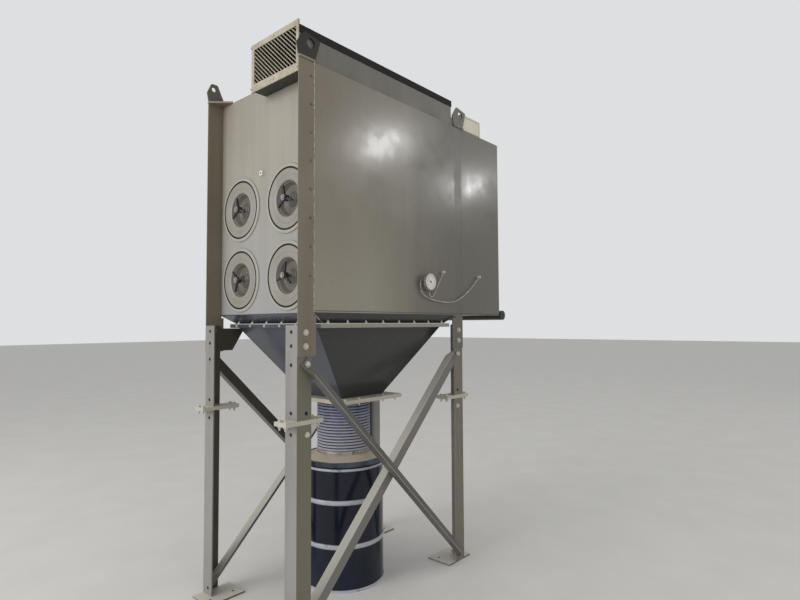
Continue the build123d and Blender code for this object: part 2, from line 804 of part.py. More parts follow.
low_port = (gauge_y + port_offset, gauge_z - gauge_body / 2 - port_drop)
with BuildPart() as gauge:
    with BuildSketch(wall_plane):
        with Locations((gauge_y, gauge_z)):
            Circle(gauge_body / 2)
    extrude(amount=gauge_depth - gauge_bezel)
    with BuildSketch(wall_plane.offset(gauge_depth - gauge_bezel)):
        with Locations((gauge_y, gauge_z)):
            Circle(gauge_diameter / 2)
    extrude(amount=gauge_bezel)
    with BuildSketch(Plane(origin=(tube_x, gauge_left + port_overlap, elbow[1]), x_dir=(1, 0, 0),
                           z_dir=(0, -1, 0))):
        Circle(port_diameter / 2)
    extrude(amount=port_reach + port_overlap + port_diameter / 2)
    with BuildSketch(Plane(origin=(tube_x, elbow[0], elbow[1]), x_dir=(1, 0, 0), z_dir=(0, 0, -1))):
        Circle(port_diameter / 2)
    extrude(amount=port_drop)
    with BuildSketch(Plane(origin=(tube_x, low_port[0], low_port[1]), x_dir=(1, 0, 0), z_dir=(0, 0, 1))):
        Circle(port_diameter / 2)
    extrude(amount=2 * port_drop)
    with BuildSketch(wall_plane):
        with Locations(chamber_tap, plenum_tap):
            Circle(tap_diameter / 2)
    extrude(amount=tap_length)
    for tap, angle in ((chamber_tap, chamber_barb), (plenum_tap, plenum_barb)):
        direction = (0, cos(radians(angle)), sin(radians(angle)))
        with BuildSketch(Plane(origin=(tube_x, tap[0], tap[1]), x_dir=(1, 0, 0), z_dir=direction)):
            Circle(barb_diameter / 2)
        extrude(amount=barb_length)
save(gauge, "pressure_gauge")

# Tubes from the gauge's ports to the taps, each a route of (y, z) points beside the wall
chamber_tube_route = [
    low_port,
    (low_port[0], low_port[1] - port_run),
    (378.3, 2005.2),
    (397.7, 2000.4),
    (416, 2008.5),
    (442.5, 2050.9),
    barb_point(chamber_tap, chamber_barb, barb_length + 70),
    barb_point(chamber_tap, chamber_barb, barb_length),
]
plenum_tube_route = [
    (elbow[0], elbow[1] - port_drop),
    (elbow[0], elbow[1] - port_drop - elbow_run),
    (272, 2045),
    (292, 2021),
    (325, 2003),
    (385, 1985),
    (470, 1972),
    (555, 1967),
    (632, 1969),
    (704, 1982),
    (772, 2008),
    (838, 2046),
    (905, 2089),
    barb_point(plenum_tap, plenum_barb, barb_length + 50),
    barb_point(plenum_tap, plenum_barb, barb_length),
]


def tube(name, route):
    """A thin tube of straight runs and tangent arcs along the route."""
    points = [Vector(tube_x, y, z) for y, z in route]
    runs = [(after - before) for before, after in zip(points, points[1:])]
    radii = []
    for before, after in zip(runs, runs[1:]):
        turn = before.get_angle(after)
        radii.append(0.45 * min(before.length, after.length) / tan(radians(turn / 2)))
    print(name, "radii", [round(radius) for radius in radii])
    start_plane = Plane(origin=points[0], z_dir=runs[0])
    with BuildPart() as piece:
        with BuildLine() as path:
            FilletPolyline(*points, radius=radii)
        with BuildSketch(start_plane):
            Circle(tube_diameter / 2)
        sweep(path=path.line)
    length = sum(edge.length for edge in path.edges())
    expected = pi * tube_diameter ** 2 / 4 * length
    print(name, "length", round(length), "volume ratio", round(piece.part.volume / expected, 4))
    save(piece, name)


tube("chamber_tube", chamber_tube_route)
tube("plenum_tube", plenum_tube_route)

# Compressed-air header behind the plenum
header_y = plenum_back + header_gap + header_diameter / 2
header_height = housing_bottom + header_rise
with BuildPart() as header:
    with BuildSketch(Plane(origin=(-half_width - header_overhang, header_y, header_height),
                           x_dir=(0, 1, 0), z_dir=(1, 0, 0))):
        Circle(header_diameter / 2)
    extrude(amount=housing_width + 2 * header_overhang)
    for x in (-header_bracket_place, header_bracket_place):
        span_box((x - header_bracket / 2, x + header_bracket / 2), (plenum_back, header_y),
                 (header_height, header_height + header_bracket_height))
save(header, "air_header")

# Control box on the plenum roof
box_width, box_length, box_height = control_box_size
box_right = half_width - control_box_side_inset
box_front = back + control_box_back_inset
with BuildPart() as control_box:
    span_box((box_right - box_width, box_right), (box_front, box_front + box_length),
             (housing_top, housing_top + box_height))
save(control_box, "control_box")
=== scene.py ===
"""Dresses the cartridge dust collector: materials, small fasteners, seams, hose, gauge, floor and light.

Metres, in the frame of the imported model: +X right along the front, +Y to the rear, +Z up.
"""

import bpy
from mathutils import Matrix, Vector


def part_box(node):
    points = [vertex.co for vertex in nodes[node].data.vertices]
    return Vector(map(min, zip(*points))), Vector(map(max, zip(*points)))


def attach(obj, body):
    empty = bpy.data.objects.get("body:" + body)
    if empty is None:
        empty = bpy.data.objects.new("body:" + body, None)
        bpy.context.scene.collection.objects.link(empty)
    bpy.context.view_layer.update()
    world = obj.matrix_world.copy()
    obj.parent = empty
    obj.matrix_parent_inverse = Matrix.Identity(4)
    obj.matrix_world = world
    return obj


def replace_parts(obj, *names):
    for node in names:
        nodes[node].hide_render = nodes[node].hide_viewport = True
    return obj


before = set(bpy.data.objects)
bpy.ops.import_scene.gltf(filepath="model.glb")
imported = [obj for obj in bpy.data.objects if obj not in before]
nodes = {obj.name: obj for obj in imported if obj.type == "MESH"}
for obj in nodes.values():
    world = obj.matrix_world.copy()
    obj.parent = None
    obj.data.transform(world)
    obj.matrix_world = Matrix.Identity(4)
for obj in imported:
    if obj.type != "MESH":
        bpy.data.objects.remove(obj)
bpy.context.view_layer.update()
import math
import random

import bmesh
import bpy
from mathutils import Matrix, Vector

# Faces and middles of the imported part, which the looks and the small pieces follow
SIDES = (-1, 1)
WALL_X = 0.508
WALL_FOOT = 1.877
WALL_TOP = 3.356
LEG_X = 0.502
LEG_END = 0.806
PANEL_Y = -0.691
GUARD_Y = -0.799
COVER_X = 0.2585
COVER_Y = -0.700
KNOB_Y = -0.732
COVER_MIDDLE = 2.344
COVER_ROW = 0.239
GROOVE_RADIUS = 0.191
FLANGE_TOP = 1.812
LIP_END = 0.636
PLATE_TOP = 1.296
PLATE_FOOT = 1.270
DRUM_Y = 0.0105
DRUM_RADIUS = 0.286
HOSE_FOOT = 0.892
HOSE_CUFF = 0.024
HOSE_INSIDE = 0.173
HOSE_CUFF_RADIUS = 0.181
HOSE_VALLEY = 0.176
HOSE_CREST = 0.194
GAUGE_X = 0.560
GAUGE_Y = 0.343
GAUGE_Z = 2.107

# Camera at the photograph's place
CAMERA_PLACE = (2.9862, -2.7320, 1.7995)
YAW = math.radians(41.536)
PITCH = math.radians(2.606)
ROLL = math.radians(-0.274)
camera_data = bpy.data.cameras.new("camera")
camera_data.sensor_width = 36.0
camera_data.lens = 24.543
camera_data.clip_end = 200.0
camera = bpy.data.objects.new("camera", camera_data)
forward = Vector((-math.sin(YAW) * math.cos(PITCH), math.cos(YAW) * math.cos(PITCH), math.sin(PITCH)))
level = Vector((math.cos(YAW), math.sin(YAW), 0.0))
upward = level.cross(forward)
right = level * math.cos(ROLL) + upward * math.sin(ROLL)
up = -level * math.sin(ROLL) + upward * math.cos(ROLL)
turn = Matrix((right, up, -forward)).transposed().to_4x4()
camera.matrix_world = Matrix.Translation(CAMERA_PLACE) @ turn
bpy.context.scene.collection.objects.link(camera)
bpy.context.scene.camera = camera
bpy.context.scene.view_settings.view_transform = "Standard"


def linear(red, green, blue):
    """A colour given in 0 to 255 display values, as linear light."""
    values = []
    for value in (red, green, blue):
        value /= 255.0
        values.append(value / 12.92 if value <= 0.04045 else ((value + 0.055) / 1.055) ** 2.4)
    return (*values, 1.0)


class Nodes:
    """Short names for building a material's node tree."""

    def __init__(self, name):
        self.material = bpy.data.materials.new(name)
        self.material.use_nodes = True
        self.tree = self.material.node_tree
        self.shader = self.tree.nodes["Principled BSDF"]
        self.coordinates = self.tree.nodes.new("ShaderNodeTexCoord")
        self.place = self.coordinates.outputs["Object"]

    def link(self, out, into):
        self.tree.links.new(out, into)

    def noise(self, scale, detail=4.0, rough=0.5, stretch=(1.0, 1.0, 1.0), distortion=0.0):
        """Noise in object space; a stretch above 1 squeezes the pattern along that axis."""
        mapping = self.tree.nodes.new("ShaderNodeMapping")
        mapping.inputs["Scale"].default_value = stretch
        self.link(self.place, mapping.inputs["Vector"])
        node = self.tree.nodes.new("ShaderNodeTexNoise")
        node.inputs["Scale"].default_value = scale
        node.inputs["Detail"].default_value = detail
        node.inputs["Roughness"].default_value = rough
        node.inputs["Distortion"].default_value = distortion
        self.link(mapping.outputs["Vector"], node.inputs["Vector"])
        return node.outputs["Fac"]

    def ramp(self, value, low, high, bottom=0.0, top=1.0):
        """The value from low to high, spread from bottom to top."""
        node = self.tree.nodes.new("ShaderNodeMapRange")
        node.inputs["From Min"].default_value = low
        node.inputs["From Max"].default_value = high
        node.inputs["To Min"].default_value = bottom
        node.inputs["To Max"].default_value = top
        self.link(value, node.inputs["Value"])
        return node.outputs["Result"]

    def math(self, operation, first, second=0.0):
        """A sum on two values or sockets; ABSOLUTE, SQRT and SINE read only the first."""
        node = self.tree.nodes.new("ShaderNodeMath")
        node.operation = operation
        for place, value in enumerate((first, second)):
            if isinstance(value, (int, float)):
                node.inputs[place].default_value = value
            else:
                self.link(value, node.inputs[place])
        return node.outputs[0]

    def mix(self, factor, first, second):
        """Between two colours, each a colour or a socket."""
        node = self.tree.nodes.new("ShaderNodeMix")
        node.data_type = "RGBA"
        self.link(factor, node.inputs[0])
        for place, value in ((6, first), (7, second)):
            if isinstance(value, tuple):
                node.inputs[place].default_value = value
            else:
                self.link(value, node.inputs[place])
        return node.outputs[2]

    def lay(self, tone, colour, mask, strength):
        """The tone with a colour laid over it where the mask is 1, as strong as asked."""
        return self.mix(self.math("MULTIPLY", mask, strength), tone, colour)

    def axis(self, name):
        """One coordinate of the place on the surface, in metres."""
        node = self.tree.nodes.new("ShaderNodeSeparateXYZ")
        self.link(self.place, node.inputs[0])
        return node.outputs[name]

    def facing(self, name):
        """How far the surface faces along one axis of the object, from -1 to 1."""
        node = self.tree.nodes.new("ShaderNodeSeparateXYZ")
        self.link(self.coordinates.outputs["Normal"], node.inputs[0])
        return node.outputs[name]

    def band(self, value, low, high, edge=0.0005):
        """1 where the value lies between two limits, 0 elsewhere."""
        return self.math("MULTIPLY", self.ramp(value, low - edge, low), self.ramp(value, high + edge, high))

    def distance(self, first, second):
        """The length of a vector of two parts."""
        squares = [self.math("POWER", part, 2.0) for part in (first, second)]
        return self.math("SQRT", self.math("ADD", *squares))

    def peel(self):
        """The bump layer of sprayed paint's orange peel."""
        return self.noise(260.0, detail=2.0), 0.06, 0.0006

    def bump(self, *layers):
        """Bump from layers of (height, strength, distance)."""
        before = None
        for height, strength, distance in layers:
            node = self.tree.nodes.new("ShaderNodeBump")
            node.inputs["Strength"].default_value = strength
            node.inputs["Distance"].default_value = distance
            self.link(height, node.inputs["Height"])
            if before is not None:
                self.link(before, node.inputs["Normal"])
            before = node.outputs["Normal"]
        self.link(before, self.shader.inputs["Normal"])

    def finish(self, colour, rough, metallic=0.0):
        """Links the colour and the roughness, which may be one value, and gives the material."""
        self.link(colour, self.shader.inputs["Base Color"])
        if isinstance(rough, (int, float)):
            self.shader.inputs["Roughness"].default_value = rough
        else:
            self.link(rough, self.shader.inputs["Roughness"])
        self.shader.inputs["Metallic"].default_value = metallic
        return self.material


STREAKS = (1.0, 1.0, 0.07)
RUST = linear(96, 60, 38)
STAIN = linear(120, 98, 74)


def paint(name, colour, dust, dirt, rough, dusty=0.35, dirty=0.3, wavy=0.0, rust=0.0, side=None, over=None,
          under=None, marks=None, specular=0.5):
    """Sprayed paint: slow mottling, vertical streaks, dust, specks, orange peel and, where asked, rust.

    side, over and under are the colours of faces turned to the sides, up and down: painted light and shade by
    the way a face is turned, with dust as well on some paints' faces turned up. marks adds what is painted at
    one place, such as a seam.
    """
    n = Nodes(name)
    cloud = n.ramp(n.noise(1.6, detail=5.0, rough=0.6), 0.35, 0.7)
    streak = n.ramp(n.noise(9.0, rough=0.6, stretch=STREAKS), 0.45, 0.75)
    speck = n.ramp(n.noise(90.0, detail=2.0), 0.66, 0.72)
    tone = n.lay(colour, dust, cloud, dusty)
    tone = n.lay(tone, dirt, streak, dirty)
    tone = n.lay(tone, dust, speck, 0.35)
    if rust:
        spots = n.noise(14.0, detail=8.0, rough=0.7, stretch=(1.0, 1.0, 0.5), distortion=0.4)
        tone = n.lay(tone, RUST, n.ramp(spots, 0.66 - 0.1 * rust, 0.74), 0.85)
    # Painted light and shade: faces turned sideways, up and down take the colours given for them.
    for there, turned in (
        (side, lambda: n.math("ABSOLUTE", n.facing("X"))),
        (over, lambda: n.facing("Z")),
        (under, lambda: n.math("MULTIPLY", n.facing("Z"), -1.0)),
    ):
        if there:
            tone = n.lay(tone, there, n.ramp(turned(), 0.45, 0.68), 0.85)
    if marks:
        tone = marks(n, tone)
    gloss = n.ramp(n.noise(3.0, detail=5.0, rough=0.6), 0.3, 0.75, rough - 0.06, rough + 0.14)
    n.shader.inputs["Specular IOR Level"].default_value = specular
    layers = [n.peel()]
    if wavy:
        layers.append((n.noise(1.7, detail=1.5, rough=0.4), wavy, 0.02))
    n.bump(*layers)
    return n.finish(tone, gloss)


def metal(name, colour, dark, rough=0.42, spangle=14.0):
    """Dull galvanised or plain steel with spangle and stains."""
    n = Nodes(name)
    grain = n.ramp(n.noise(spangle, detail=6.0, rough=0.6, stretch=(1.0, 1.0, 0.7)), 0.3, 0.7)
    stain = n.ramp(n.noise(5.0, detail=6.0, rough=0.65), 0.5, 0.75)
    tone = n.mix(grain, colour, dark)
    tone = n.lay(tone, STAIN, stain, 0.3)
    gloss = n.ramp(n.noise(30.0, rough=0.6), 0.3, 0.7, rough - 0.1, rough + 0.15)
    n.bump((n.noise(120.0, detail=3.0), 0.08, 0.0008))
    return n.finish(tone, gloss, metallic=0.75)


def plain(name, colour, other, rough, scale=40.0, metallic=0.0, bumpy=0.08):
    """Plastic, rubber, small metal parts and the floor: a soft two-tone grain and a fine bump."""
    n = Nodes(name)
    tone = n.mix(n.ramp(n.noise(scale, rough=0.6), 0.35, 0.7), colour, other)
    gloss = n.ramp(n.noise(scale * 0.5, detail=3.0), 0.3, 0.7, rough - 0.05, rough + 0.1)
    n.bump((n.noise(scale * 8.0, detail=2.0), bumpy, 0.0005))
    return n.finish(tone, gloss, metallic)


def cover_radius(n):
    """The distance from the middle of the nearest filter cover."""
    across = n.math("SUBTRACT", n.math("ABSOLUTE", n.axis("X")), COVER_X)
    above = n.math("ABSOLUTE", n.math("SUBTRACT", n.axis("Z"), COVER_MIDDLE))
    along = n.math("SUBTRACT", above, COVER_ROW)
    return n.distance(across, along)


def cover_paint():
    """The front's paint on the filter covers, with painted shade in the recessed dish, a painted highlight on
    the rim, painted shadow making the groove black, and faint spun rings.
    """
    n = Nodes("cover_paint")
    cloud = n.ramp(n.noise(2.4, detail=5.0, rough=0.6), 0.35, 0.7)
    streak = n.ramp(n.noise(16.0, rough=0.6, stretch=STREAKS), 0.5, 0.75)
    radius = cover_radius(n)
    ring = n.math("ABSOLUTE", n.math("SUBTRACT", radius, GROOVE_RADIUS))
    depth = n.ramp(n.axis("Y"), COVER_Y + 0.0006, COVER_Y + 0.003)
    groove = n.math("MULTIPLY", n.ramp(ring, 0.0095, 0.0075), depth)
    tone = n.lay(linear(150, 147, 137), linear(172, 170, 160), cloud, 0.35)
    tone = n.lay(tone, linear(120, 112, 98), streak, 0.3)
    # Painted shade: the recessed dish darker the deeper it lies.
    dish = n.ramp(n.axis("Y"), COVER_Y + 0.004, COVER_Y + 0.030)
    dish = n.math("MULTIPLY", dish, n.ramp(radius, 0.122, 0.116))
    tone = n.lay(tone, linear(92, 88, 80), dish, 0.75)
    # Painted highlight: the outer rim lighter.
    tone = n.lay(tone, linear(190, 188, 178), n.ramp(radius, 0.197, 0.2), 0.5)
    # Painted shadow: the groove near-black.
    tone = n.lay(tone, linear(16, 15, 14), groove, 0.97)
    n.bump((n.math("SINE", n.math("MULTIPLY", radius, 620.0)), 0.4, 0.0014), n.peel())
    return n.finish(tone, 0.36)


def drum_radius(n):
    """The distance from the drum's axis."""
    return n.distance(n.axis("X"), n.math("SUBTRACT", n.axis("Y"), DRUM_Y))


def hose_finish():
    """A ribbed hose: pale dusty crests, paler low down with dust and painted light, and valleys near-black
    with painted shade.
    """
    n = Nodes("hose_rubber")
    crest = n.ramp(drum_radius(n), HOSE_VALLEY + 0.005, HOSE_CREST - 0.002)
    dust = n.ramp(n.noise(22.0, detail=5.0, rough=0.6), 0.35, 0.7)
    # Dust and painted light: the lower ribs paler, and the upper ones under the plate left darker.
    low = n.ramp(n.axis("Z"), 1.20, 0.95)
    pale = n.mix(dust, linear(112, 119, 142), linear(146, 150, 166))
    pale = n.lay(pale, linear(186, 184, 190), low, 0.6)
    # Painted shade: the valleys between the ribs near-black.
    tone = n.mix(crest, linear(16, 17, 21), pale)
    n.bump((n.noise(180.0, detail=3.0), 0.15, 0.0006))
    return n.finish(tone, 0.58)


def wall_marks(n, tone):
    """Walls, plenum, roof and rear posts: a painted shadow line in the gap at the foot, a dark seam behind
    the rear posts, browner in front, painted shade that makes the rear duller, and painted light from the
    floor that makes the front paler low down."""
    rear_shade = linear(92, 90, 82)
    # Painted shadow: the line at the wall's foot darkens the gap there; the line behind the rear posts is
    # their seam.
    foot = n.band(n.axis("Z"), 1.882, 1.887)
    post = n.band(n.axis("Y"), 0.8048, 0.8072)
    # Painted shade: the rear part duller, as the light falls off towards the rear.
    tone = n.lay(tone, rear_shade, n.ramp(n.axis("Y"), 0.14, 0.24), 0.3)
    tone = n.lay(tone, rear_shade, n.ramp(n.axis("Y"), 0.2, 0.6), 0.5)
    tone = n.lay(tone, linear(132, 119, 100), n.ramp(n.axis("Y"), -0.25, -0.65), 0.5)
    # Painted light: paler low down in front, where the floor's light reaches the wall.
    low = n.math("MULTIPLY", n.ramp(n.axis("Z"), 2.8, 2.0), n.ramp(n.axis("Y"), 0.15, -0.2))
    tone = n.lay(tone, linear(166, 161, 145), low, 0.5)
    return n.lay(tone, linear(52, 49, 43), n.math("MAXIMUM", foot, post), 0.7)


def panel_marks(n, tone):
    """Front panel: bluer low down, browner at the upper left, with a painted shadow ring round the covers."""
    tone = n.lay(tone, linear(158, 161, 168), n.ramp(n.axis("Z"), 2.9, 2.0), 0.5)
    corner = n.math("MULTIPLY", n.ramp(n.axis("X"), -0.1, -0.48), n.ramp(n.axis("Z"), 2.9, 3.3))
    tone = n.lay(tone, linear(124, 114, 98), corner, 0.5)
    # Painted shadow: a dark ring on the panel just outside each cover's rim.
    return n.lay(tone, linear(60, 59, 57), n.ramp(cover_radius(n), 0.222, 0.204), 0.75)


def post_marks(n, tone):
    """Front posts: lifting lugs, darkest on the right, and a painted highlight along the edge of the corner
    plate.
    """
    lug = n.ramp(n.axis("Z"), 3.3705, 3.3725)
    dark = n.ramp(n.axis("X"), 0.0, 0.1, 0.45, 0.95)
    tone = n.lay(tone, linear(24, 21, 19), lug, dark)
    # Painted highlight: the upright edge of the corner plate lighter, as it catches the light from above.
    upright = n.ramp(n.math("ABSOLUTE", n.facing("Z")), 0.5, 0.3)
    edge = n.math("MULTIPLY", n.band(n.axis("Z"), 3.3585, 3.3700), upright)
    return n.lay(tone, linear(150, 142, 124), edge, 0.6)


def throat_marks(n, tone):
    """Throat and hopper: the pale lips on the sides, and a pale line along the outer edge of the flange all
    round.
    """
    across = n.math("ABSOLUTE", n.axis("X"))
    along = n.math("ABSOLUTE", n.math("SUBTRACT", n.axis("Y"), DRUM_Y))
    side = n.ramp(across, 0.4935, 0.4945)
    lip = n.math("MULTIPLY", side, n.band(n.axis("Z"), 1.7834, 1.8070))
    tone = n.lay(tone, linear(156, 153, 140), lip, 0.9)
    outer = n.math("MAXIMUM", side, n.ramp(along, 0.6345, 0.6355))
    edge = n.math("MULTIPLY", outer, n.band(n.axis("Z"), 1.8072, 1.8118))
    return n.lay(tone, linear(196, 194, 182), edge, 0.9)


def drum_marks(n, tone):
    """Drum: hoops and rims worn and dusty, with a painted highlight on their pale bands."""
    hoop = n.ramp(drum_radius(n), DRUM_RADIUS + 0.0015, DRUM_RADIUS + 0.0055)
    worn = n.ramp(n.noise(12.0, detail=5.0, rough=0.6), 0.2, 0.45)
    # Wear, dust and a painted highlight: the hoops pale silvery in patches.
    return n.lay(tone, linear(192, 194, 204), n.math("MULTIPLY", hoop, worn), 0.85)


def leg_marks(n, tone):
    """Legs: painted shade on the faces turned inward, and the pale plates of the joint half way down."""
    across = n.math("ABSOLUTE", n.axis("X"))
    turned = n.ramp(n.math("ABSOLUTE", n.facing("X")), 0.6, 0.8)
    inner = n.math("MULTIPLY", n.band(across, 0.470, 0.4945), turned)
    # Painted shade: the inner faces of the side flanges darkened.
    tone = n.lay(tone, linear(44, 39, 33), inner, 0.75)
    return n.lay(tone, linear(206, 202, 188), n.band(n.axis("Z"), 1.2325, 1.2575), 0.7)


def brace_marks(n, tone):
    """Falling braces: painted shade on the face that lies on the legs, and a painted highlight on the edge of
    the outer flange.
    """
    across = n.math("ABSOLUTE", n.axis("X"))
    # Painted shade: the face against the legs darkened.
    tone = n.lay(tone, linear(36, 34, 30), n.band(across, 0.5010, 0.5026), 0.7)
    # Painted highlight: the outer flange's edge lighter.
    return n.lay(tone, linear(176, 172, 160), n.ramp(across, 0.5642, 0.5655), 0.5)


def gauge_marks(n, tone):
    """Gauge: the wall fittings away from its body are pale nickel."""
    along = n.math("SUBTRACT", n.axis("Y"), GAUGE_Y)
    above = n.math("SUBTRACT", n.axis("Z"), GAUGE_Z)
    return n.lay(tone, linear(206, 202, 192), n.ramp(n.distance(along, above), 0.10, 0.11), 0.9)


def guard_finish():
    """Inlet screen: dusty zinc, with the strands behind darkened as painted shade."""
    n = Nodes("guard_zinc")
    grain = n.ramp(n.noise(16.0, detail=6.0, rough=0.6), 0.3, 0.7)
    stain = n.ramp(n.noise(6.0, detail=6.0, rough=0.65), 0.5, 0.75)
    tone = n.mix(grain, linear(198, 188, 169), linear(166, 157, 139))
    tone = n.lay(tone, linear(118, 98, 76), stain, 0.4)
    # Painted shade: the strands behind the front ones darkened.
    tone = n.lay(tone, linear(44, 40, 35), n.ramp(n.axis("Y"), -0.7950, -0.7925), 0.85)
    n.bump((n.noise(120.0, detail=3.0), 0.1, 0.0008))
    return n.finish(tone, 0.5, metallic=0.3)


# Walls: faces turned up are paler, dust on the roof and painted light on the lit top edges.
side_paint = paint("side_paint", linear(130, 125, 113), linear(151, 146, 133), linear(100, 94, 81),
                   rough=0.2, dusty=0.25, dirty=0.2, wavy=0.1, over=linear(150, 145, 130), marks=wall_marks)
front_paint = paint("front_paint", linear(162, 157, 145), linear(182, 178, 166), linear(124, 116, 102),
                    rough=0.34, wavy=0.08, marks=panel_marks)
post_paint = paint("post_paint", linear(120, 110, 94), linear(146, 138, 122), linear(88, 79, 64), rough=0.42,
                   dusty=0.3, marks=post_marks)
# Inlet box: the underside near-black, painted shadow.
box_paint = paint("box_paint", linear(110, 108, 98), linear(128, 125, 114), linear(78, 74, 64), rough=0.36,
                  dusty=0.3, under=linear(14, 14, 16))
# Lid: faces turned up are paler, dust and painted light on the lit top edge.
dark_paint = paint("dark_paint", linear(32, 31, 29), linear(52, 50, 46), linear(22, 20, 18), rough=0.6,
                   dusty=0.3, dirty=0.25, over=linear(96, 91, 82), specular=0.2)
rear_post_paint = paint("rear_post_paint", linear(118, 116, 109), linear(136, 133, 124), linear(92, 88, 79),
                        rough=0.26, dusty=0.25, dirty=0.2, marks=wall_marks)
# Legs: faces turned sideways darker, painted shade; faces turned up pale, dust and painted light.
leg_paint = paint("leg_paint", linear(144, 142, 138), linear(166, 164, 162), linear(104, 98, 88), rough=0.45,
                  dusty=0.4, dirty=0.4, rust=0.15, side=linear(110, 103, 86), over=linear(214, 210, 196),
                  marks=leg_marks)
falling_paint = paint("falling_paint", linear(98, 98, 94), linear(130, 128, 121), linear(68, 64, 56),
                      rough=0.45, dusty=0.4, dirty=0.35, rust=0.2, marks=brace_marks)
# Rising braces: faces turned sideways lighter and faces turned up pale, painted light.
rising_paint = paint("rising_paint", linear(96, 93, 86), linear(128, 124, 116), linear(72, 67, 58),
                     rough=0.45, dusty=0.4, dirty=0.35, rust=0.2, side=linear(120, 118, 114),
                     over=linear(206, 202, 190))
# Hopper: faces turned sideways darker, painted shade.
hopper_paint = paint("hopper_paint", linear(68, 74, 84), linear(96, 101, 110), linear(44, 44, 46), rough=0.22,
                     dusty=0.3, wavy=0.1, side=linear(50, 49, 46), marks=throat_marks)
plate_paint = paint("plate_paint", linear(182, 176, 160), linear(202, 196, 180), linear(132, 122, 104),
                    rough=0.55, dusty=0.5, dirty=0.35, rust=0.1)
tan_paint = paint("tan_paint", linear(184, 172, 152), linear(202, 191, 170), linear(138, 122, 100), rough=0.6,
                  dusty=0.5, dirty=0.35, rust=0.1)
drum_paint = paint("drum_paint", linear(16, 19, 30), linear(50, 60, 86), linear(10, 10, 12), rough=0.16,
                   dusty=0.3, dirty=0.2, rust=0.1, marks=drum_marks, specular=0.35)
header_paint = paint("header_paint", linear(30, 30, 31), linear(72, 72, 72), linear(18, 17, 16), rough=0.3,
                     dirty=0.2)
# Ring: its pale blue second tone, laid on as dust, is a painted bluish reflection.
ring_paint = paint("ring_paint", linear(30, 34, 44), linear(120, 132, 160), linear(16, 17, 20), rough=0.18,
                   dusty=0.6)
cream_paint = paint("cream_paint", linear(230, 223, 202), linear(240, 236, 222), linear(170, 160, 136),
                    rough=0.45, dusty=0.4, dirty=0.35)
cover_finish = cover_paint()
hose_rubber = hose_finish()
galvanised = metal("galvanised", linear(196, 188, 172), linear(150, 142, 128))
steel = metal("steel", linear(196, 196, 196), linear(140, 136, 130), rough=0.34, spangle=60.0)
bolt_metal = plain("bolt_metal", linear(222, 218, 206), linear(172, 163, 146), 0.36, scale=110.0,
                   metallic=0.25)
worn_metal = plain("worn_metal", linear(140, 132, 116), linear(92, 84, 72), 0.45, scale=70.0, metallic=0.2)
sealant = plain("sealant", linear(216, 210, 194), linear(104, 96, 80), 0.6, scale=60.0)
guard_zinc = guard_finish()
knob_plastic = plain("knob_plastic", linear(22, 22, 24), linear(74, 75, 78), 0.22, scale=90.0)
tube_plastic = plain("tube_plastic", linear(150, 147, 140), linear(188, 186, 178), 0.2, scale=30.0)
gauge_metal = paint("gauge_metal", linear(118, 117, 112), linear(146, 144, 138), linear(84, 82, 76),
                    rough=0.34, dusty=0.3, dirty=0.25, marks=gauge_marks)
bezel_metal = plain("bezel_metal", linear(196, 194, 186), linear(214, 212, 205), 0.3, scale=50.0,
                    metallic=0.3)
dial_paper = plain("dial_paper", linear(232, 230, 222), linear(216, 213, 202), 0.5, scale=30.0)
ink = plain("ink", linear(22, 22, 22), linear(34, 34, 34), 0.5, scale=80.0)
hole_dark = plain("hole_dark", linear(12, 11, 10), linear(22, 20, 18), 0.8, scale=80.0)

finishes = {
    "side_wall_left": side_paint,
    "side_wall_right": side_paint,
    "clean_air_plenum": side_paint,
    "plenum_rear_panel": side_paint,
    "roof_panel": side_paint,
    "corner_post_rear_left": rear_post_paint,
    "corner_post_rear_right": rear_post_paint,
    "inlet_box": box_paint,
    "inlet_lid": dark_paint,
    "front_panel": front_paint,
    "hopper_throat": hopper_paint,
    "hopper": hopper_paint,
    "outlet_plate": plate_paint,
    "drum_lid": tan_paint,
    "lid_ring": ring_paint,
    "drum": drum_paint,
    "flexible_hose": hose_rubber,
    "hose_clamps": steel,
    "inlet_guard": guard_zinc,
    "inlet_collar": galvanised,
    "control_box": cream_paint,
    "air_header": header_paint,
    "pressure_gauge": gauge_metal,
}
families = {
    "corner_post_front": post_paint,
    "filter_cover_": cover_finish,
    "cover_knob_": knob_plastic,
    "upper_leg_": leg_paint,
    "lower_leg_": leg_paint,
    "falling_brace_": falling_paint,
    "rising_brace_": rising_paint,
}
cords = ("chamber_tube", "plenum_tube")
sharp_edged = ("inlet_guard", "flexible_hose")
for name, node in nodes.items():
    if name in cords:
        continue
    finish = finishes.get(name)
    for start, family in families.items():
        if name.startswith(start):
            finish = family
    for place in node.material_slots:
        place.material = finish
    if name not in sharp_edged:
        soften = node.modifiers.new("soft_edges", "BEVEL")
        soften.width = 0.0015
        soften.segments = 2
        soften.limit_method = "ANGLE"
        soften.angle_limit = math.radians(50.0)

# Soft tubes between the gauge's ports and the wall taps, each a route of (y, z) points beside the wall
TUBE_X = 0.526
TUBE_DIAMETER = 0.008
CHAMBER_ROUTE = (
    (0.366, 2.041), (0.366, 2.021), (0.3783, 2.0052), (0.3977, 2.0004), (0.416, 2.0085), (0.4425, 2.0509),
    (0.49098, 2.11852), (0.52911, 2.17723),
)
PLENUM_ROUTE = (
    (0.265, 2.099), (0.265, 2.075), (0.272, 2.045), (0.292, 2.021), (0.325, 2.003), (0.385, 1.985),
    (0.470, 1.972), (0.555, 1.967), (0.632, 1.969), (0.704, 1.982), (0.772, 2.008), (0.838, 2.046),
    (0.905, 2.089), (0.96998, 2.14116), (1.00714, 2.17462),
)


